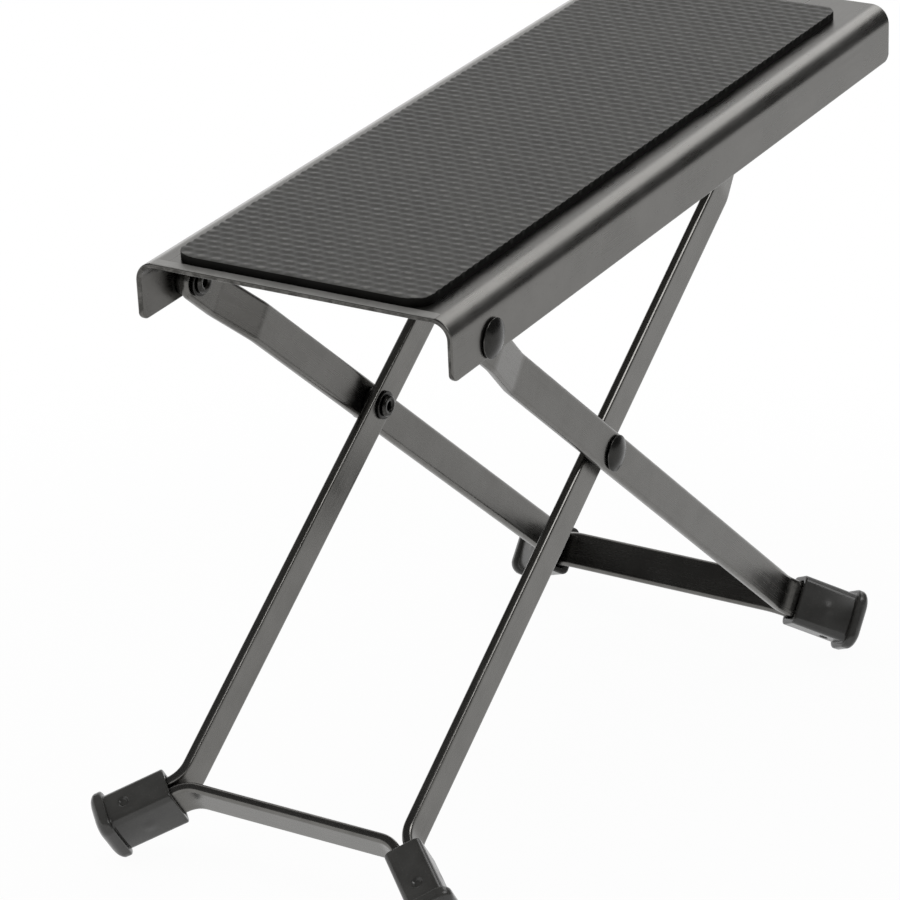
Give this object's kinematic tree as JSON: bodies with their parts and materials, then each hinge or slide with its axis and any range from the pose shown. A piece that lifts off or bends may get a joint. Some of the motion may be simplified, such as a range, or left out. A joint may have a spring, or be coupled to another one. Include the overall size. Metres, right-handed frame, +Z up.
{
  "type": "folding guitar footrest",
  "caption": "Folding footrest: a ribbed rubber pad on a steel channel tread, carried by two crossed strip frames with rubber feet, a lock rod and a notched height rack.",
  "frame": {"origin": "on the floor, at the middle of the bounding box in X and Y", "axes": "+X from the tread's low end towards its high end, +Y to the left seen from the low end, +Z up"},
  "size_m": [0.2942, 0.1304, 0.2114],
  "materials": {
    "tread_steel": "satin grey plating",
    "strip_steel": "satin grey plating",
    "rivet_steel": "polished dark plating",
    "foot_rubber": "moulded, slightly glossy",
    "pad_rubber": "moulded with fine ribs, smooth walls"
  },
  "bodies": {
    "rear_leg": {"rear_frame": "strip_steel", "rear_foot_left": "foot_rubber", "rear_foot_right": "foot_rubber", "middle_rivet_left": "rivet_steel", "middle_spacer_left": "rivet_steel", "middle_washer_left": "rivet_steel", "middle_rivet_right": "rivet_steel", "middle_spacer_right": "rivet_steel", "middle_washer_right": "rivet_steel"},
    "front_leg": {"front_frame": "strip_steel", "front_foot_left": "foot_rubber", "front_foot_right": "foot_rubber", "lock_rod": "strip_steel"},
    "tread": {"tread_plate": "tread_steel", "tread_pad": "pad_rubber", "rack_left": "strip_steel", "rack_right": "strip_steel", "tread_rivet_left": "rivet_steel", "tread_spacer_left": "rivet_steel", "tread_washer_left": "rivet_steel", "tread_rivet_right": "rivet_steel", "tread_spacer_right": "rivet_steel", "tread_washer_right": "rivet_steel"}
  },
  "joints": [
    {"name": "frame_fold", "type": "hinge", "parent": "rear_leg", "child": "front_leg", "pos_m": [-0.01941, 0, 0.10776], "axis": [0, 1, 0], "range_deg": [-22.11, 73.97]},
    {"name": "tread_fold", "type": "hinge", "parent": "rear_leg", "child": "tread", "pos_m": [-0.10638, 0, 0.1673], "axis": [0, 1, 0], "range_deg": [-12.32, 41.2]}
  ],
  "couplings": [
    {"joint": "tread_fold", "follows": "frame_fold", "ratio": 0.55684}
  ]
}
